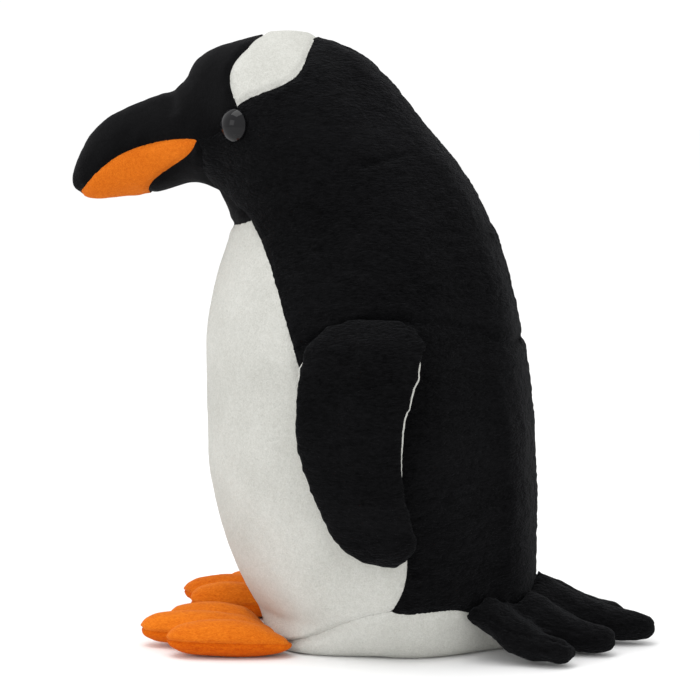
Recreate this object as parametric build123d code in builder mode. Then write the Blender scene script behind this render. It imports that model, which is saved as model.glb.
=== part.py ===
"""A stuffed toy penguin: sewn plush panels over fibre stuffing, with a bag of pellets in its base.

Frame: millimetres, +Z up. The penguin faces -Y, so its left side is +X.
The origin is on the floor, midway between the bill's tip and the tail's tip.
"""

from build123d import *
from math import cos, radians, sin
import os

os.makedirs("parts", exist_ok=True)

# ---------------------------------------------------------------- driving dimensions
height = 290
plush = 2.0  # thickness of the body's plush, with its pile pressed flat
short_pile = 1.5  # thickness of the feet's brushed fabric
bag_cloth = 0.8
gap = 0.5  # free space between pieces that move against each other
reach = 170  # farther out than any panel

# Stations of the stuffed forms, in order along each: first the distance, then the section.
# The body is lofted as its left half through level sections: half width, front Y, back Y.
body_stations = [
    (0, 44, -33, 67),
    (6, 55, -44, 76),
    (20, 64, -54, 82.5),
    (45, 68.5, -66, 83.5),
    (80, 70.5, -74, 83),
    (120, 69, -76, 80),
    (155, 64, -74.5, 74),
    (185, 56, -67, 66),
    (200, 51.5, -63.5, 60),
    (215, 47.5, -71, 52.5),
    (232, 45, -78, 40),
    (250, 42.5, -80, 24.5),
    (262, 38, -80, 15.5),
    (272, 31, -76.5, 6.5),
    (280.5, 22, -67.5, -6.5),
    (287, 11, -51, -23),
    (height, 2.5, -41, -34),
]
lower_body = body_stations[:6]
# The bill's left half has upright sections: half width, underside Z, ridge Z.
bill_stations = [
    (55, 33, 219, 262),
    (78, 28, 215.5, 262),
    (92, 22.5, 213.5, 260.5),
    (106, 18, 211.5, 255.5),
    (122, 14, 210, 247.5),
    (131, 11, 209.5, 239.5),
    (137, 8, 212, 230),
    (140.5, 4, 214.5, 222),
]
# The left flipper hangs beside the body. Its level sections have low and high X, then Y.
flipper_stations = [
    (48, 76.5, 80, 19, 29),
    (51, 74, 82.5, 9, 33),
    (58, 72.5, 84.5, 0, 36.5),
    (72, 72, 84.5, -8.5, 34),
    (95, 72, 84.5, -17.5, 30.5),
    (115, 71.5, 84, -20, 32.5),
    (135, 69.5, 81.5, -18.5, 38),
    (150, 66.5, 77, -14, 39),
    (157, 65, 73, -6, 34.5),
    (159.5, 65, 69.5, 2, 28),
]
# Toes and tail lobes have upright sections, by shares of the length from root to tip:
# low and high width, then Z.
toe_stations = [
    (0.00, -5.0, 5.0, 4.0, 7.5),
    (0.12, -8.0, 8.0, 2.0, 11.5),
    (0.30, -9.5, 9.5, 0.5, 16.0),
    (0.60, -10.0, 10.0, 0.0, 18.0),
    (0.85, -8.5, 8.5, 1.5, 16.5),
    (0.96, -5.5, 5.5, 4.0, 13.5),
    (1.00, -2.0, 2.0, 6.5, 10.5),
]
lobe_stations = [
    (0.00, -15, 15, 13, 28),
    (0.20, -14.5, 14.5, 9, 28),
    (0.40, -12.5, 12.5, 3.5, 24.5),
    (0.60, -10.5, 10.5, 0.6, 20),
    (0.80, -9, 9, 0.2, 16),
    (0.93, -7, 7, 0.7, 14.5),
    (1.00, -3, 3, 4, 10.5),
]
# Each toe and lobe lies along the line from (X, Y) of its root to (X, Y) of its tip, and the
# last number stretches its heights.
left_toes = [
    (25, -37, 22, -92, 1),
    (40, -30, 43, -100, 1),
    (54, -22, 63, -83, 1),
]
tail_lobes = [
    (-40, 56, -53, 106, 0.9),
    (-20, 62, -27, 124, 1),
    (0, 66, 0, 140.5, 1.08),
    (20, 62, 27, 124, 1),
    (40, 56, 53, 106, 0.9),
]
bag_stations = [
    (6, -22, 22, -12, 46),
    (12, -38, 38, -28, 60),
    (24, -40, 40, -30, 62),
    (34, -24, 24, -12, 44),
]

foot_seam = 8  # height of the seam round each foot
tail_seam = Plane((0, 64, 18), x_dir=(1, 0, 0), z_dir=(0, 11, 70))  # it slopes to the tips
foot_lift = 15  # degrees
tail_lift = 15
left_ankle = Axis((41, -31.5, foot_seam), (-30, -16, 0))
tail_hinge = Axis((0, 64, 27), (1, 0, 0))

eye_centre = (35.9, -54.8, 244.5)
eye_facing = (0.885, -0.46, 0.05)
eye_radius = 7.5
eye_rim = 0.8
eye_dome = 5.0
stem_radius = 2.0
stem_length = 12.0
washer_radius = 8.0
washer_hole = stem_radius + 0.05
washer_thick = 1.6
washer_depth = 2.2  # behind the back of the eye

# Seams of the left side, as (Y, Z) seen from that side. The right side mirrors them.
eye_corner = (-54.5, 253.3)  # where the crown patch comes to a point above the eye
bill_corner = (-75.2, 237.2)  # the rear tip of the bill's orange patch
bib_corner = (-49, 200.3)  # the belly panel's top corner
base_corner = (23.2, 24)  # where belly, base and back meet
crown_front = [eye_corner, (-58, 260.5), (-59.5, 268), (-55, 278.5), (-46, 296)]
crown_rear = [
    (-22.5, 296),
    (-22.5, 278),
    (-26, 268.5),
    (-33.2, 263.6),
    (-45.1, 258.9),
    eye_corner,
]
bill_top = [bill_corner, (-98.5, 235.2), (-115, 229), (-128, 219.5), (-139, 210)]
bill_under = [(-104.5, 208), (-100.4, 215.5), (-92.6, 220.8), (-84, 226), bill_corner]
brow = [bill_corner, (-61, 243), eye_corner]
throat_side = [bib_corner, (-62.5, 209), (-73.5, 218.5), (-72.8, 228), bill_corner]
bib_top = [(-64, 196.5), (-56, 198), bib_corner]
belly_side = [
    bib_corner,
    (-38, 184),
    (-27, 157),
    (-19.4, 134.7),
    (-12, 112),
    (8, 86),
    (27, 66),
    (31.5, 50),
    base_corner,
]
base_front = [base_corner, (11.2, 21.3), (-10.4, 11.2), (-30, 4), (-60, 3)]
base_rear = [(90, 3), (78, 5), (68, 12), (56.8, 22.3), (34.3, 23), base_corner]
back_seam = [
    (-40, 138),
    (-17.3, 146.6),
    (8, 158),
    (32.9, 157.3),
    (56.1, 152),
    (75.6, 144.3),
    (90, 140),
]


# ---------------------------------------------------------------- stuffed forms
def oval(extents, inset):
    """A face that fills low X, high X, low Y and high Y, drawn in by the inset on every side."""
    low_x, high_x, low_y, high_y = extents
    inset = min(inset, 0.4 * (high_y - low_y), 0.4 * (high_x - low_x))
    middle_x, half_x = (low_x + high_x) / 2, (high_x - low_x) / 2 - inset
    middle_y, half_y = (low_y + high_y) / 2, (high_y - low_y) / 2 - inset
    around = [radians(a) for a in range(0, 360, 45)]
    points = [(middle_x + half_x * cos(a), middle_y + half_y * sin(a)) for a in around]
    with BuildLine() as outline:
        Spline(*points, periodic=True)
    make_face(outline.edges())


def half_oval(extents, inset):
    """The +X half of an oval face, flat along X = 0, drawn in by the inset all round."""
    half_x, low_y, high_y = extents
    inset = min(inset, 0.4 * (high_y - low_y), 0.8 * half_x)
    half_x -= inset
    middle_y, half_y = (low_y + high_y) / 2, (high_y - low_y) / 2 - inset
    around = [radians(a) for a in range(-90, 91, 30)]
    with BuildLine() as outline:
        points = [(half_x * cos(a), middle_y + half_y * sin(a)) for a in around]
        Spline(*points, tangents=[(1, 0), (-1, 0)])
        Line(points[-1], points[0])
    make_face(outline.edges())


def stuffed_form(base, stations, inset=0.0, length=1.0, section=oval):
    """A closed solid lofted through its stations. The inset draws in its ends too."""
    first, last = stations[0][0] * length, stations[-1][0] * length
    shrink = 1 - 2 * inset / (last - first)
    with BuildPart() as form:
        for distance, *extents in stations:
            with BuildSketch(base.offset(first + inset + (distance * length - first) * shrink)):
                section(extents, inset)
        loft()
    return form.part


def body_half(inset=0.0):
    """The left half of body, head and bill, as one stuffed form."""
    with BuildPart() as form:
        add(stuffed_form(Plane.XY, body_stations, inset, section=half_oval))
        add(stuffed_form(Plane.XZ, bill_stations, inset, section=half_oval))
    return form.part


def both_halves(half):
    with BuildPart() as whole:
        add(half)
        mirror(about=Plane.YZ)
    return whole.part


def finger_form(lines, stations, inset=0.0):
    """Toes or tail lobes that spread from one root, joined."""
    with BuildPart() as form:
        for root_x, root_y, tip_x, tip_y, tall in lines:
            along = Vector(tip_x - root_x, tip_y - root_y, 0)
            across = Vector(0, 0, 1).cross(along)
            base = Plane((root_x, root_y, 0), x_dir=across, z_dir=along)
            raised = [(*station[:3], station[3] * tall, station[4] * tall) for station in stations]
            add(stuffed_form(base, raised, inset, along.length))
    return form.part


def clear_of_body(form, hinge, lift, space):
    """The form less the room that the body needs, at rest and while the form lifts."""
    room = both_halves(stuffed_form(Plane.XY, lower_body, -space, section=half_oval))
    with BuildPart() as cleared:
        add(form)
        for turned in (0, -lift / 2, -lift):
            add(room.rotate(hinge, turned), mode=Mode.SUBTRACT)
    return cleared.part


def without(form, *others):
    with BuildPart() as rest:
        add(form)
        add(others, mode=Mode.SUBTRACT)
    return rest.part


def cut_by_seams(cloth, edges, mode=Mode.INTERSECT):
    """The cloth inside an outline, or outside it with Mode.SUBTRACT, seen from the left side."""
    with BuildPart() as piece:
        add(cloth)
        with BuildSketch(Plane.YZ.offset(-reach)):
            with BuildLine() as outline:
                for edge in edges:
                    if len(edge) > 2:
                        Spline(*edge)
                    else:
                        Line(*edge)
            make_face(outline.edges())
        extrude(amount=2 * reach, mode=mode)
    return piece.part


def chain(*points):
    """Straight edges from point to point, outside the form, that close a seam outline."""
    return list(zip(points, points[1:]))


def write(name, piece):
    piece.part.label = name
    export_step(piece.part, f"parts/{name}.step")


# ---------------------------------------------------------------- eyes
# A moulded safety eye: a dome on a stem, with a washer pressed onto the stem behind the cloth.
eye_plane = Plane(eye_centre, z_dir=eye_facing)
with BuildPart() as eye_left:
    with BuildSketch(Plane(eye_centre, x_dir=eye_plane.x_dir, z_dir=-eye_plane.y_dir)):
        with BuildLine():
            Polyline((0, eye_dome), (0, -stem_length), (stem_radius, -stem_length), (stem_radius, 0))
            Polyline((stem_radius, 0), (eye_radius, 0), (eye_radius, eye_rim))
            TangentArc((0, eye_dome), (eye_radius, eye_rim), tangent=(1, 0))
        make_face()
    revolve(axis=Axis(eye_centre, eye_facing))

with BuildPart() as eye_washer_left:
    with BuildSketch(eye_plane.offset(-washer_depth)):
        Circle(washer_radius)
        Circle(washer_hole, mode=Mode.SUBTRACT)
    extrude(amount=-washer_thick)

with BuildPart() as eye_right:
    add(eye_left.part)
    mirror(about=Plane.YZ, mode=Mode.REPLACE)

with BuildPart() as eye_washer_right:
    add(eye_washer_left.part)
    mirror(about=Plane.YZ, mode=Mode.REPLACE)

write("eye_left", eye_left)
write("eye_right", eye_right)
write("eye_washer_left", eye_washer_left)
write("eye_washer_right", eye_washer_right)
eye_parts = [eye_left.part, eye_right.part, eye_washer_left.part, eye_washer_right.part]

# ---------------------------------------------------------------- stuffing and pellets
with BuildPart() as pellet_bag:
    add(stuffed_form(Plane.XY, bag_stations))
    add(stuffed_form(Plane.XY, bag_stations, bag_cloth), mode=Mode.SUBTRACT)

with BuildPart() as pellets:
    add(stuffed_form(Plane.XY, bag_stations, bag_cloth))

with BuildPart() as body_fill:
    add(without(both_halves(body_half(plush)), stuffed_form(Plane.XY, bag_stations), *eye_parts))

write("pellet_bag", pellet_bag)
write("pellets", pellets)
write("body_fill", body_fill)

# ---------------------------------------------------------------- body panels
# The skin's left half is cut seam by seam, and what is left after each cut goes on to the next.
skin = without(body_half(), body_half(plush), eye_left.part, eye_washer_left.part)
panels = {
    "crown_patch": [crown_front, (crown_front[-1], crown_rear[0]), crown_rear],
    "bill_patch": [bill_top, *chain(bill_top[-1], (-reach, 190), (-104.5, 190), bill_under[0]), bill_under],
    "face_panel": [
        brow,
        *chain(eye_corner, (-50, 262), (-40, 300), (-reach, 300), (-reach, 190), bill_corner),
    ],
    "throat_panel": [
        bib_top,
        throat_side,
        *chain(bill_corner, (-reach, 240), (-reach, 190), bib_top[0]),
    ],
    "base_panel": [
        base_front,
        *chain(base_front[-1], (-reach, 3), (-reach, -20)),
        *chain((-reach, -20), (reach, -20), (reach, 3), base_rear[0]),
        base_rear,
    ],
    "belly_panel": [
        bib_top,
        belly_side,
        base_front,
        *chain(base_front[-1], (-reach, 3), (-reach, 190), bib_top[0]),
    ],
    "upper_back": [
        back_seam,
        *chain(back_seam[-1], (reach, 140), (reach, 300)),
        *chain((reach, 300), (-reach, 300), (-reach, 138), back_seam[0]),
    ],
    "lower_back": chain(
        (-reach, -20), (reach, -20), (reach, 300), (-reach, 300), (-reach, -20)
    ),
}
paired = ["bill_patch", "face_panel", "upper_back", "lower_back"]  # with a seam between the halves

for name, outline in panels.items():
    with BuildPart() as panel:
        add(cut_by_seams(skin, outline))
    if name in paired:
        write(f"{name}_left", panel)
        with BuildPart() as mirrored:
            add(panel.part)
            mirror(about=Plane.YZ, mode=Mode.REPLACE)
        write(f"{name}_right", mirrored)
    else:
        with BuildPart() as whole:
            add(both_halves(panel.part))
        write(name, whole)
    if name != "lower_back":
        skin = cut_by_seams(skin, outline, mode=Mode.SUBTRACT)

# ---------------------------------------------------------------- flippers
# A black panel outside and a white one inside, seamed round the edge, hung from the shoulder.
flipper_outside = stuffed_form(Plane.XY, flipper_stations)
flipper_inside = stuffed_form(Plane.XY, flipper_stations, plush)
flipper_seam = [((low + high) / 2, distance) for distance, low, high, *_ in flipper_stations]

with BuildPart() as flipper_left_fill:
    add(flipper_inside)

with BuildPart() as seam_block:
    with BuildSketch(Plane.XZ.offset(-reach)):
        with BuildLine():
            Spline(*flipper_seam)
            Polyline(flipper_seam[-1], (67, height), (reach, height), (reach, 0))
            Polyline((reach, 0), (78, 0), flipper_seam[0])
        make_face()
    extrude(amount=2 * reach)

with BuildPart() as flipper_left_outer:
    add(without(flipper_outside, flipper_inside))
    add(seam_block.part, mode=Mode.INTERSECT)

with BuildPart() as flipper_left_inner:
    add(without(flipper_outside, flipper_inside))
    add(seam_block.part, mode=Mode.SUBTRACT)

# ---------------------------------------------------------------- feet
# Three stuffed toes each, seamed round the edge, and sewn to the body along the heel.
toes_outside = finger_form(left_toes, toe_stations)
toes_inside = finger_form(left_toes, toe_stations, short_pile)
foot_outside = clear_of_body(toes_outside, left_ankle, foot_lift, gap)
foot_inside = clear_of_body(toes_inside, left_ankle, foot_lift, gap + short_pile)

with BuildPart() as foot_left_fill:
    add(foot_inside)

with BuildPart() as foot_left_top:
    add(without(foot_outside, foot_inside))
    split(bisect_by=Plane.XY.offset(foot_seam), keep=Keep.TOP)

with BuildPart() as foot_left_sole:
    add(without(foot_outside, foot_inside))
    split(bisect_by=Plane.XY.offset(foot_seam), keep=Keep.BOTTOM)

for name, piece in [
    ("flipper_{}_fill", flipper_left_fill),
    ("flipper_{}_outer", flipper_left_outer),
    ("flipper_{}_inner", flipper_left_inner),
    ("foot_{}_fill", foot_left_fill),
    ("foot_{}_top", foot_left_top),
    ("foot_{}_sole", foot_left_sole),
]:
    with BuildPart() as mirrored:
        add(piece.part)
        mirror(about=Plane.YZ, mode=Mode.REPLACE)
    write(name.format("left"), piece)
    write(name.format("right"), mirrored)

# ---------------------------------------------------------------- tail
# Five lobes that fan out behind, seamed round the edge, and sewn to the back along the root.
lobes_outside = finger_form(tail_lobes, lobe_stations)
lobes_inside = finger_form(tail_lobes, lobe_stations, plush)
tail_outside = clear_of_body(lobes_outside, tail_hinge, tail_lift, gap)
tail_inside = clear_of_body(lobes_inside, tail_hinge, tail_lift, gap + plush)

with BuildPart() as tail_fill:
    add(tail_inside)

with BuildPart() as tail_top:
    add(without(tail_outside, tail_inside))
    split(bisect_by=tail_seam, keep=Keep.TOP)

with BuildPart() as tail_underside:
    add(without(tail_outside, tail_inside))
    split(bisect_by=tail_seam, keep=Keep.BOTTOM)

write("tail_fill", tail_fill)
write("tail_top", tail_top)
write("tail_underside", tail_underside)
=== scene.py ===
"""A stuffed toy penguin: plush panels sewn over stuffing, with hinged flippers, feet and tail.

Metres, +Z up. The penguin faces -Y, so its left side is +X.
"""

import math

import bmesh
import bpy
import numpy as np
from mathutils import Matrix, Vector, noise
from mathutils.bvhtree import BVHTree


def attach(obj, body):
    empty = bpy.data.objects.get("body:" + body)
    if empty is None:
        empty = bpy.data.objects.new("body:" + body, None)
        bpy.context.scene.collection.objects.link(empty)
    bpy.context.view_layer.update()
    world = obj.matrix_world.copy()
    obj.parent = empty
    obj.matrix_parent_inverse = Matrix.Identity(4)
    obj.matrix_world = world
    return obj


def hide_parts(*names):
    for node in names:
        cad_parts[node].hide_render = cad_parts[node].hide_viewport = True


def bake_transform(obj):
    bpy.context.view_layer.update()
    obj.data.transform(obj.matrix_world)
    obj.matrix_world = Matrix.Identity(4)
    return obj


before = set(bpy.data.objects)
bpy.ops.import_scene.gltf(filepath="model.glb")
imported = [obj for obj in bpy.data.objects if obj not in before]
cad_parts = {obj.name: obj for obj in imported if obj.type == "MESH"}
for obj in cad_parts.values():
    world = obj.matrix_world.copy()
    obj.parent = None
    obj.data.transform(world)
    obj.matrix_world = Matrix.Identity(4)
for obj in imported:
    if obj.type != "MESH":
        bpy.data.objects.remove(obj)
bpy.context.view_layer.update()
MM = 0.001

# ------------------------------------------------------------------ the stuffed body
# Body, head and bill are one bag of fibre stuffing. Its cloth is drawn tight by the stuffing and
# held in along every seam, so each panel swells a little between its seams.
BODY_PANELS = [
    "crown_patch",
    "face_panel_left",
    "face_panel_right",
    "bill_patch_left",
    "bill_patch_right",
    "throat_panel",
    "upper_back_left",
    "upper_back_right",
    "lower_back_left",
    "lower_back_right",
    "belly_panel",
    "base_panel",
]


def cad_copy(*nodes):
    """The CAD nodes' meshes, merged into one bmesh."""
    bm = bmesh.new()
    for node in nodes:
        bm.from_mesh(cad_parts[node].data)
    bmesh.ops.remove_doubles(bm, verts=bm.verts, dist=0.01 * MM)
    return bm


def as_object(name, bm):
    mesh = bpy.data.meshes.new(name)
    bm.to_mesh(mesh)
    bm.free()
    made = bpy.data.objects.new(name, mesh)
    bpy.context.scene.collection.objects.link(made)
    return made


def apply_modifiers(made):
    """Keeps the mesh that the object's modifiers show, and drops the modifiers."""
    seen = made.evaluated_get(bpy.context.evaluated_depsgraph_get())
    shown = bpy.data.meshes.new_from_object(seen)
    made.modifiers.clear()
    made.data = shown


def points_of(mesh):
    co = np.zeros(len(mesh.vertices) * 3, np.float32)
    mesh.vertices.foreach_get("co", co)
    return co.reshape(-1, 3).astype(float)


def normals_of(mesh):
    co = np.zeros(len(mesh.vertices) * 3, np.float32)
    mesh.vertex_normals.foreach_get("vector", co)
    return co.reshape(-1, 3).astype(float)


def set_points(mesh, points):
    mesh.vertices.foreach_set("co", points.astype(np.float32).ravel())
    mesh.update()


def seam_distances(mesh, trees, proud=3 * MM):
    """For each point the nearest panel, the second nearest, and how far it is from their seam.
    It looks from just outside the cloth, where each panel's own face is the nearest."""
    points = points_of(mesh) + normals_of(mesh) * proud
    gaps = np.empty((len(points), len(trees)))
    for column, tree in enumerate(trees):
        gaps[:, column] = [tree.find_nearest(Vector(p))[3] for p in points]
    order = np.argsort(gaps, axis=1)
    rows = np.arange(len(points))
    near, second = gaps[rows, order[:, 0]], gaps[rows, order[:, 1]]
    return order[:, 0], order[:, 1], np.sqrt(np.maximum(second**2 - near**2, 0))


def seam_pull(first, second, nodes):
    """How hard each point's seam draws in: little where the two halves of one shape meet."""
    shape = [node.replace("_left", "").replace("_right", "") for node in nodes]
    pull = np.array([[0.15 if a == b and len(nodes) > 2 else 1.0 for a in shape] for b in shape])
    return pull[first, second]


def lumps(points, size, seed):
    """Smooth noise from -1 to 1 with features of that size, at each point."""
    return np.array([noise.noise(Vector(p) / size + Vector((seed, 0, 0))) for p in points])


def stuff(name, nodes, trees, voxel, ease, push, cap, rounded=0):
    """A stuffed form over the CAD nodes: remeshed, rounded along its back, drawn in by ease, blown
    out, and divided."""
    made = as_object(name, cad_copy(*nodes))
    remesh = made.modifiers.new("even", "REMESH")
    remesh.mode = "VOXEL"
    remesh.voxel_size = voxel
    apply_modifiers(made)
    bm = bmesh.new()
    bm.from_mesh(made.data)
    every_way = {"use_axis_x": True, "use_axis_y": True, "use_axis_z": True}
    for _ in range(3):
        bmesh.ops.smooth_vert(bm, verts=bm.verts, factor=0.5, **every_way)
    behind = [v for v in bm.verts if v.co.y > 5 * MM and v.co.z > 15 * MM]
    spine = [v for v in behind if abs(v.co.x) < 34 * MM]
    sideways = {**every_way, "use_axis_z": False}
    for _ in range(rounded):
        bmesh.ops.smooth_vert(bm, verts=spine, factor=0.5, **sideways)
    bmesh.ops.recalc_face_normals(bm, faces=bm.faces)
    bm.to_mesh(made.data)
    bm.free()
    mesh = made.data
    start = points_of(mesh) - normals_of(mesh) * ease
    set_points(mesh, start)
    first, second, seam = seam_distances(mesh, trees)
    hold = np.exp(-((seam / (1.2 * voxel)) ** 2)) * seam_pull(first, second, nodes)
    held = made.vertex_groups.new(name="sewn")
    for index, weight in enumerate(hold):
        held.add([index], float(weight), "REPLACE")
    cloth = made.modifiers.new("cloth", "CLOTH")
    cloth.settings.use_pressure = True
    cloth.settings.uniform_pressure_force = push
    cloth.settings.effector_weights.gravity = 0
    cloth.settings.vertex_group_mass = "sewn"
    scene = bpy.context.scene
    for step in range(1, 21):
        scene.frame_set(step)
    apply_modifiers(made)
    scene.frame_set(1)
    mesh = made.data
    moved = points_of(mesh) - start
    length = np.linalg.norm(moved, axis=1, keepdims=True)
    set_points(mesh, start + moved * np.minimum(1, cap / np.maximum(length, 1e-9)))
    divide = made.modifiers.new("divide", "SUBSURF")
    divide.levels = 2
    divide.render_levels = 2
    apply_modifiers(made)
    return made


def panel_trees(nodes):
    return [BVHTree.FromBMesh(cad_copy(node)) for node in nodes]


def sew(points, normals, seam, pull, groove, width, pucker, seed):
    """Points drawn in along the seams, with small gathers beside them and uneven stuffing."""
    near = np.exp(-((seam / width) ** 2)) * pull
    beside = np.exp(-((seam / (3.5 * width)) ** 2))
    gathers = lumps(points, 6 * MM, seed) * pucker * beside
    wide, small = lumps(points, 38 * MM, seed + 5), lumps(points, 16 * MM, seed + 9)
    soft = wide * 0.9 * MM + small * 0.35 * MM
    depth = groove * (1 + 0.35 * lumps(points, 11 * MM, seed + 2))
    return points + normals * (gathers + soft * (1 - near) - depth * near)[:, None]


def smoothed(mesh, values, rounds):
    """One value per point, evened out over the mesh's edges."""
    ends = np.zeros(len(mesh.edges) * 2, np.int32)
    mesh.edges.foreach_get("vertices", ends)
    first, last = ends.reshape(-1, 2).T
    count = np.bincount(first, minlength=len(values)) + np.bincount(last, minlength=len(values))
    for _ in range(rounds):
        onward = np.bincount(first, values[last], len(values))
        total = onward + np.bincount(last, values[first], len(values))
        values = (values + total / np.maximum(count, 1)) / 2
    return values


def eased(value, low, high):
    """A smooth step from 0 at low to 1 at high."""
    share = np.clip((value - low) / (high - low), 0, 1)
    return share * share * (3 - 2 * share)


def combed_nap(points, normals, height, seed):
    """Points raised in small clumps of pile, longer across than up and down."""
    stretched = points * np.array([0.45, 0.45, 1])
    clumps = lumps(stretched, 2.7 * MM, seed) + 0.6 * lumps(stretched, 1.5 * MM, seed + 4)
    return points + normals * (height * clumps)[:, None]


def creased(points, normals, line, depth, width):
    """Points pressed in along a sewn line."""
    reach = np.full(len(points), np.inf)
    for start, end in zip(line, line[1:]):
        start, end = np.array(start), np.array(end)
        along = end - start
        share = np.clip((points - start) @ along / (along @ along), 0, 1)
        reach = np.minimum(reach, np.linalg.norm(points - start - share[:, None] * along, axis=1))
    return points - normals * (depth * np.exp(-((reach / width) ** 2)))[:, None]


def cut_panels(made, names, label, seam, thickness):
    """Cuts a stuffed form along its seams, and gives each panel its own piece with a thickness."""
    bm = bmesh.new()
    bm.from_mesh(made.data)
    bm.verts.ensure_lookup_table()
    side = bm.verts.layers.int.new("side")
    for vert, panel in zip(bm.verts, label):
        vert[side] = int(panel) + 1
    depth = bm.verts.layers.float.new("seam")
    for vert, distance in zip(bm.verts, seam):
        vert[depth] = float(distance)
    crossing = [e for e in bm.edges if e.verts[0][side] != e.verts[1][side]]
    for edge in crossing:
        first, last = edge.verts
        share = first[depth] / max(first[depth] + last[depth], 1e-9)
        _, sewn = bmesh.utils.edge_split(edge, first, min(max(share, 0.06), 0.94))
        sewn[side] = 0
        sewn[depth] = 0
    on_seam = [v for v in bm.verts if v[side] == 0]
    bmesh.ops.connect_verts(bm, verts=on_seam)
    panel_of = bm.faces.layers.int.new("panel")
    for face in bm.faces:
        sides = [v[side] for v in face.verts if v[side]]
        face[panel_of] = max(set(sides), key=sides.count) if sides else 0
    for face in bm.faces:
        if not face[panel_of]:
            around = [f[panel_of] for e in face.edges for f in e.link_faces if f[panel_of]]
            face[panel_of] = max(set(around), key=around.count) if around else 1
    pieces = {}
    for number, name in enumerate(names, 1):
        part = bm.copy()
        mine = part.faces.layers.int["panel"]
        bmesh.ops.delete(part, geom=[f for f in part.faces if f[mine] != number], context="FACES")
        for face in part.faces:
            face.smooth = True
        piece = as_object(f"{name}_cloth", part)
        wall = piece.modifiers.new("cloth thickness", "SOLIDIFY")
        wall.thickness = thickness
        wall.offset = -1
        wall.thickness_clamp = 1
        pieces[name] = piece
    bm.free()
    bpy.data.objects.remove(made)
    return pieces


body_trees = panel_trees(BODY_PANELS)
body = stuff(
    "body",
    BODY_PANELS,
    body_trees,
    voxel=4.5 * MM,
    ease=0.8 * MM,
    push=4,
    cap=3 * MM,
    rounded=30,
)

# The bill and the forehead are stuffed harder than the rest, and a fold marks the bill's root.
full = points_of(body.data)
upward = (normals_of(body.data)[:, 2] + 1) / 2
under_bill = eased(full[:, 1], -80 * MM, -106 * MM)
over_bill = eased(full[:, 1], -98 * MM, -134 * MM)
forward = under_bill * (1 - upward) + over_bill * upward
brow_middle = np.array([0, -76 * MM, 268 * MM])
brow_size = np.array([22 * MM, 14 * MM, 13 * MM])
brow_reach = np.linalg.norm((full - brow_middle) / brow_size, axis=1)
firm = 3.2 * MM * forward + 5.5 * MM * np.exp(-(brow_reach**2))
full = full + normals_of(body.data) * firm[:, None]
full[:, 2] -= 2.2 * MM * eased(full[:, 1], -104 * MM, -138 * MM)
set_points(body.data, full)
bill_root = [(-20 * MM, -89 * MM, 252 * MM), (0, -94 * MM, 263 * MM), (20 * MM, -89 * MM, 252 * MM)]
full = creased(full, normals_of(body.data), bill_root, depth=1.6 * MM, width=3.2 * MM)
set_points(body.data, full)

body_label, body_other, body_seam = seam_distances(body.data, body_trees)
body_pull = seam_pull(body_label, body_other, BODY_PANELS)
body_normals = normals_of(body.data)
body_points = sew(
    points_of(body.data),
    body_normals,
    body_seam,
    body_pull,
    groove=1.3 * MM,
    width=2.0 * MM,
    pucker=0.35 * MM,
    seed=3,
)
# A short dart at each side of the nape takes up the crown's fullness, and a small lump of
# stuffing stands out behind the shoulders.
for side in (1, -1):
    dart = [
        (side * 42 * MM, 7 * MM, 227 * MM),
        (side * 37 * MM, 16 * MM, 229.6 * MM),
        (side * 27 * MM, 27 * MM, 232.5 * MM),
    ]
    body_points = creased(body_points, body_normals, dart, depth=1.6 * MM, width=1.7 * MM)
hump_middle = np.array([0, 62 * MM, 193 * MM])
hump_size = np.array([9 * MM, 9 * MM, 5 * MM])
hump = np.linalg.norm((body_points - hump_middle) / hump_size, axis=1)
body_points += body_normals * (1.6 * MM * np.exp(-(hump**2)))[:, None]
# The pellets press the base flat and square its front corners, where the feet are sewn.
low = eased(body_points[:, 2], 17 * MM, 2 * MM)
middle_y = 17 * MM
half_width, half_depth = 50, 56  # of the base's oval: only their ratio counts
across = np.abs(body_points[:, 0]) / half_width
ahead = np.maximum(middle_y - body_points[:, 1], 0) / half_depth
turn = np.arctan2(ahead, across + 1e-9)
corner = 3.6  # 2 leaves an oval, and more squares it
square = (np.cos(turn) ** corner + np.sin(turn) ** corner) ** (-1 / corner)
wider = 0.03
spread = 1 + low * (square - 1 + wider)
body_points[:, 0] *= spread
body_points[:, 1] = middle_y + (body_points[:, 1] - middle_y) * spread
body_points[:, 2] -= 3 * MM * eased(body_points[:, 2], 16 * MM, 4 * MM)
black = np.isin(body_label, [BODY_PANELS.index(n) for n in BODY_PANELS if "_back" in n])
shaggy = smoothed(body.data, black.astype(float), 2)
nap_height = 0.42 * MM * shaggy + 0.1 * MM * (1 - shaggy)
body_points = combed_nap(body_points, body_normals, nap_height, 41)
body_points[:, 2] = np.maximum(body_points[:, 2], 0.1 * MM)
set_points(body.data, body_points)
body_pieces = cut_panels(body, BODY_PANELS, body_label, body_seam, thickness=1.6 * MM)
for name, piece in body_pieces.items():
    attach(piece, "body")
    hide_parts(name)
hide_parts("body_fill", "pellet_bag", "pellets")
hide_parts("eye_washer_left")
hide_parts("eye_washer_right")

# ------------------------------------------------------------------ plush materials
# Black and white plush with a short dense pile that lies in faint combed rows, and smoother
# brushed fabric on the bill, throat and feet. The pile scatters light at its edges, as a sheen.


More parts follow.
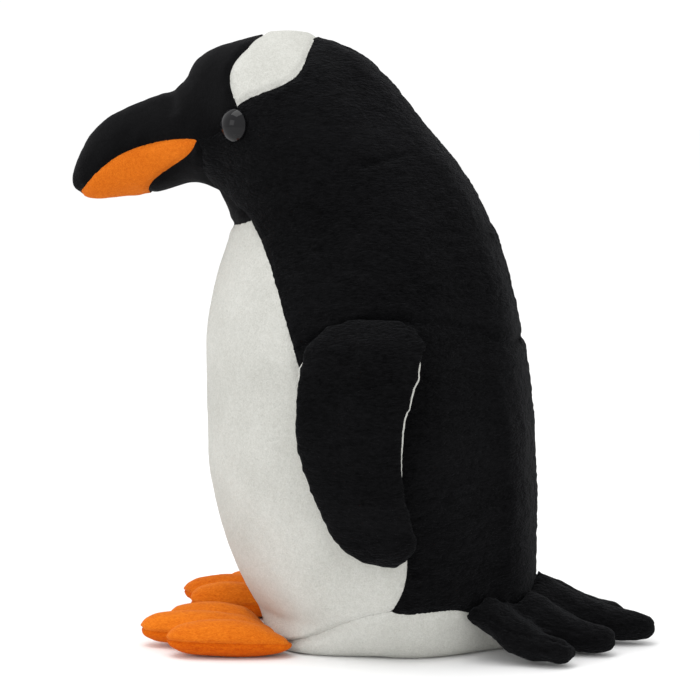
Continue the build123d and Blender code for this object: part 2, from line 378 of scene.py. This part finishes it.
def pile(name, deep, light, sheen, sheen_tint, row, grain, bump, combed=(1, 1, 1)):
    """A pile fabric: two tones in combed rows, fine grain, and a bump of pile tips."""
    material = bpy.data.materials.new(name)
    material.use_nodes = True
    tree = material.node_tree
    links = tree.links
    shader = tree.nodes["Principled BSDF"]
    shader.inputs["Roughness"].default_value = 0.95
    shader.inputs["Specular IOR Level"].default_value = 0.05
    shader.inputs["Sheen Weight"].default_value = sheen
    shader.inputs["Sheen Roughness"].default_value = 0.45
    shader.inputs["Sheen Tint"].default_value = (*sheen_tint, 1)
    place = tree.nodes.new("ShaderNodeTexCoord")
    comb = tree.nodes.new("ShaderNodeMapping")
    comb.inputs["Scale"].default_value = combed
    links.new(place.outputs["Object"], comb.inputs["Vector"])

    def noise_node(scale, detail, rough):
        made = tree.nodes.new("ShaderNodeTexNoise")
        made.inputs["Scale"].default_value = scale
        made.inputs["Detail"].default_value = detail
        made.inputs["Roughness"].default_value = rough
        links.new(comb.outputs["Vector"], made.inputs["Vector"])
        return made

    rows = noise_node(scale=1 / row, detail=3, rough=0.6)
    tips = noise_node(scale=1 / grain, detail=2, rough=0.7)
    nap = noise_node(scale=30, detail=2, rough=0.5)
    blend = tree.nodes.new("ShaderNodeMath")
    blend.operation = "MULTIPLY_ADD"
    blend.inputs[1].default_value = 0.5
    links.new(rows.outputs["Fac"], blend.inputs[0])
    links.new(tips.outputs["Fac"], blend.inputs[2])
    total = tree.nodes.new("ShaderNodeMath")
    total.operation = "MULTIPLY_ADD"
    total.inputs[1].default_value = 0.6
    links.new(nap.outputs["Fac"], total.inputs[0])
    links.new(blend.outputs["Value"], total.inputs[2])
    tone = tree.nodes.new("ShaderNodeValToRGB")
    tone.color_ramp.elements[0].color = (*deep, 1)
    tone.color_ramp.elements[1].color = (*light, 1)
    span = tree.nodes.new("ShaderNodeMapRange")
    span.inputs["From Min"].default_value = 0.75
    span.inputs["From Max"].default_value = 1.35
    links.new(total.outputs["Value"], span.inputs["Value"])
    links.new(span.outputs["Result"], tone.inputs["Fac"])
    links.new(tone.outputs["Color"], shader.inputs["Base Color"])
    raised = tree.nodes.new("ShaderNodeBump")
    raised.inputs["Strength"].default_value = 1
    raised.inputs["Distance"].default_value = bump
    links.new(blend.outputs["Value"], raised.inputs["Height"])
    links.new(raised.outputs["Normal"], shader.inputs["Normal"])
    return material


black_plush = pile(
    "black_plush",
    deep=(0.0002, 0.0002, 0.0003),
    light=(0.0052, 0.0052, 0.0058),
    sheen=0.03,
    sheen_tint=(0.75, 0.78, 0.85),
    row=3.5 * MM,
    grain=1.0 * MM,
    bump=1.6 * MM,
    combed=(0.4, 0.4, 1.2),
)
white_plush = pile(
    "white_plush",
    deep=(0.44, 0.44, 0.405),
    light=(0.60, 0.60, 0.565),
    sheen=0.08,
    sheen_tint=(1, 1, 0.98),
    row=2.0 * MM,
    grain=0.7 * MM,
    bump=0.4 * MM,
)
black_short_pile = pile(
    "black_short_pile",
    deep=(0.0006, 0.0006, 0.0007),
    light=(0.0045, 0.0045, 0.005),
    sheen=0.04,
    sheen_tint=(0.8, 0.8, 0.85),
    row=1.2 * MM,
    grain=0.5 * MM,
    bump=0.35 * MM,
)
orange_bill_pile = pile(
    "orange_bill_pile",
    deep=(0.47, 0.085, 0.003),
    light=(0.72, 0.185, 0.014),
    sheen=0.08,
    sheen_tint=(1, 0.65, 0.35),
    row=1.5 * MM,
    grain=0.5 * MM,
    bump=0.25 * MM,
)
orange_foot_pile = pile(
    "orange_foot_pile",
    deep=(0.50, 0.075, 0.001),
    light=(0.76, 0.205, 0.014),
    sheen=0.1,
    sheen_tint=(1, 0.75, 0.45),
    row=1.5 * MM,
    grain=0.45 * MM,
    bump=0.25 * MM,
    combed=(1, 0.35, 1),
)
# Painted shade: the soles' fabric is a darker, redder copy of the foot fabric, standing for the
# shade on the undersides, which face away from the light.
orange_sole_pile = pile(
    "orange_sole_pile",
    deep=(0.44, 0.05, 0.001),
    light=(0.68, 0.15, 0.006),
    sheen=0.05,
    sheen_tint=(1, 0.6, 0.3),
    row=1.5 * MM,
    grain=0.45 * MM,
    bump=0.25 * MM,
    combed=(1, 0.35, 1),
)
PLUSH = {
    "black_plush": black_plush,
    "white_plush": white_plush,
    "black_short_pile": black_short_pile,
    "orange_bill_pile": orange_bill_pile,
    "orange_foot_pile": orange_foot_pile,
    "orange_sole_pile": orange_sole_pile,
}


def dress(piece, fabric):
    piece.data.materials.clear()
    piece.data.materials.append(PLUSH[fabric])


for name, piece in body_pieces.items():
    fabric = "black_plush"
    if name in ("belly_panel", "base_panel", "crown_patch"):
        fabric = "white_plush"
    if name.startswith(("face", "throat")):
        fabric = "black_short_pile"
    if name.startswith("bill"):
        fabric = "orange_bill_pile"
    dress(piece, fabric)

# ------------------------------------------------------------------ flippers, feet and tail
# Each is two fabrics seamed round the edge and stuffed, then sewn to the body along one edge.


def limb(name, nodes, fabrics, fill_node, voxel, ease, push, cap, groove, nap, lap, seed, root):
    """A stuffed limb in two panels, whose root edge follows the body it is sewn to. The first
    panel laps over the second by lap."""
    trees = panel_trees(nodes)
    made = stuff(name, nodes, trees, voxel, ease, push, cap)
    label, _, seam = seam_distances(made.data, trees, 2 * MM)
    points, normals = points_of(made.data), normals_of(made.data)
    inner = smoothed(made.data, np.where(label == 1, seam, -seam), 14) - lap(points)
    label, seam = (inner > 0).astype(int), np.abs(inner)
    width, pucker = 1.2 * MM, 0.3 * MM
    points = sew(points, normals, seam, 1, groove, width, pucker, seed)
    points = combed_nap(points, normals, nap, seed + 3)
    points = root(points)
    points[:, 2] = np.maximum(points[:, 2], 0.1 * MM)
    set_points(made.data, points)
    pieces = cut_panels(made, nodes, label, seam, thickness=1.2 * MM)
    for (node, piece), fabric in zip(pieces.items(), fabrics):
        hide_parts(node)
        dress(piece, fabric)
    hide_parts(fill_node)
    return pieces


def even_seam(points):
    return 0


for side, sign in (("left", 1), ("right", -1)):

    def shoulder(points):
        lift = eased(points[:, 2], 146 * MM, 159 * MM)
        moved = points.copy()
        moved[:, 0] -= sign * 3.2 * MM * lift
        moved[:, 1] += 2.2 * MM * eased(points[:, 1], 12 * MM, 34 * MM)
        return moved

    def black_edge(points):
        """The black panel rolls over the top and the lower tip, and less along the sides."""
        lower = eased(points[:, 2], 96 * MM, 78 * MM)
        upper = eased(points[:, 2], 139 * MM, 145 * MM)
        front = eased(points[:, 1], 10 * MM, 0) * eased(points[:, 2], 134 * MM, 126 * MM)
        return (3.6 * np.maximum(lower, upper) + 2 * front - 0.9) * MM

    flipper = limb(
        f"flipper_{side}",
        [f"flipper_{side}_outer", f"flipper_{side}_inner"],
        ["black_plush", "white_plush"],
        f"flipper_{side}_fill",
        voxel=3 * MM,
        ease=0.5 * MM,
        push=3,
        cap=2 * MM,
        groove=0.7 * MM,
        nap=0.3 * MM,
        lap=black_edge,
        seed=11 + sign,
        root=shoulder,
    )
    for piece in flipper.values():
        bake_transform(piece)

    def heel(points):
        back = eased(points[:, 1], -66 * MM, -36 * MM)
        moved = points.copy()
        moved[:, 1] -= 1.5 * MM * back
        moved[:, 2] = points[:, 2] * (1 + 0.12 * back) - 1.2 * MM * back
        return moved

    foot = limb(
        f"foot_{side}",
        [f"foot_{side}_top", f"foot_{side}_sole"],
        # The sole takes the darker copy of the foot fabric, as painted shade under the foot.
        ["orange_foot_pile", "orange_sole_pile"],
        f"foot_{side}_fill",
        voxel=2.5 * MM,
        ease=0.3 * MM,
        push=3,
        cap=1.5 * MM,
        groove=1.0 * MM,
        nap=0.06 * MM,
        lap=even_seam,
        seed=21 + sign,
        root=heel,
    )
    for piece in foot.values():
        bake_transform(piece)


def tail_root(points):
    back = eased(points[:, 1], 108 * MM, 78 * MM)
    middle = eased(np.abs(points[:, 0]), 58 * MM, 26 * MM)
    moved = points.copy()
    outer = eased(np.abs(points[:, 0]), 30 * MM, 50 * MM) * eased(points[:, 1], 84 * MM, 58 * MM)
    moved[:, 1] += (6 * outer - 3 * back) * MM
    moved[:, 2] += (back * (1 + 3 * middle) + 3 * outer) * MM
    moved[:, 2] += lumps(points, 9 * MM, 57) * 1.5 * MM * eased(points[:, 1], 120 * MM, 88 * MM)
    return moved


tail = limb(
    "tail",
    ["tail_top", "tail_underside"],
    ["black_plush", "black_plush"],
    "tail_fill",
    voxel=2.8 * MM,
    ease=0.3 * MM,
    push=3,
    cap=2 * MM,
    groove=0.5 * MM,
    nap=0.35 * MM,
    lap=even_seam,
    seed=31,
    root=tail_root,
)
for piece in tail.values():
    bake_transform(piece)

# ------------------------------------------------------------------ safety eyes
# Polished black plastic domes with a thin rim, whose stems pass through the cloth.
eye_gloss = bpy.data.materials.new("eye_plastic")
eye_gloss.use_nodes = True
gloss = eye_gloss.node_tree.nodes["Principled BSDF"]
gloss.inputs["Base Color"].default_value = (0.006, 0.006, 0.007, 1)
gloss.inputs["Roughness"].default_value = 0.04
gloss.inputs["Specular IOR Level"].default_value = 0.22
for side in ("left", "right"):
    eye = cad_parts[f"eye_{side}"]
    eye.data.materials.clear()
    eye.data.materials.append(eye_gloss)

# ------------------------------------------------------------------ floor, light and camera
# A white floor that runs far back, one large soft light from above and a fill from one side.
floor_mesh = bmesh.new()
bmesh.ops.create_grid(floor_mesh, x_segments=1, y_segments=1, size=6)
floor = as_object("floor", floor_mesh)
paper = bpy.data.materials.new("floor_paper")
paper.use_nodes = True
paper_shader = paper.node_tree.nodes["Principled BSDF"]
paper_shader.inputs["Base Color"].default_value = (0.95, 0.95, 0.95, 1)
paper_shader.inputs["Roughness"].default_value = 0.9
paper_shader.inputs["Specular IOR Level"].default_value = 0
floor.data.materials.append(paper)

world = bpy.data.worlds.new("studio")
bpy.context.scene.world = world
world.use_nodes = True
world.node_tree.nodes["Background"].inputs["Color"].default_value = (1, 1, 1, 1)
world.node_tree.nodes["Background"].inputs["Strength"].default_value = 1.06


def softbox(name, place, size, power):
    data = bpy.data.lights.new(name, "AREA")
    data.shape = "SQUARE"
    data.size = size
    data.energy = power
    lamp = bpy.data.objects.new(name, data)
    lamp.location = place
    lamp.rotation_mode = "QUATERNION"
    lamp.rotation_quaternion = (Vector(place) - Vector((0, 0, 0.12))).to_track_quat("Z", "Y")
    bpy.context.scene.collection.objects.link(lamp)


softbox("top_light", (0.2, -0.2, 1.5), 1.0, 8)
softbox("side_light", (1.3, -0.9, 0.7), 0.8, 3)

camera_data = bpy.data.cameras.new("camera")
camera = bpy.data.objects.new("camera", camera_data)
bpy.context.scene.collection.objects.link(camera)
target = Vector((0, -0.0068, 0.1369))
yaw, lift = math.radians(10), math.radians(7)
back = Vector((math.cos(yaw) * math.cos(lift), math.sin(yaw) * math.cos(lift), math.sin(lift)))
camera.location = target + back * 1.3
camera.rotation_mode = "QUATERNION"
camera.rotation_quaternion = back.to_track_quat("Z", "Y")
camera_data.sensor_width = 36
camera_data.lens = 140.75
camera_data.clip_start = 0.05
camera_data.clip_end = 50
bpy.context.scene.camera = camera
bpy.context.scene.view_settings.view_transform = "Standard"
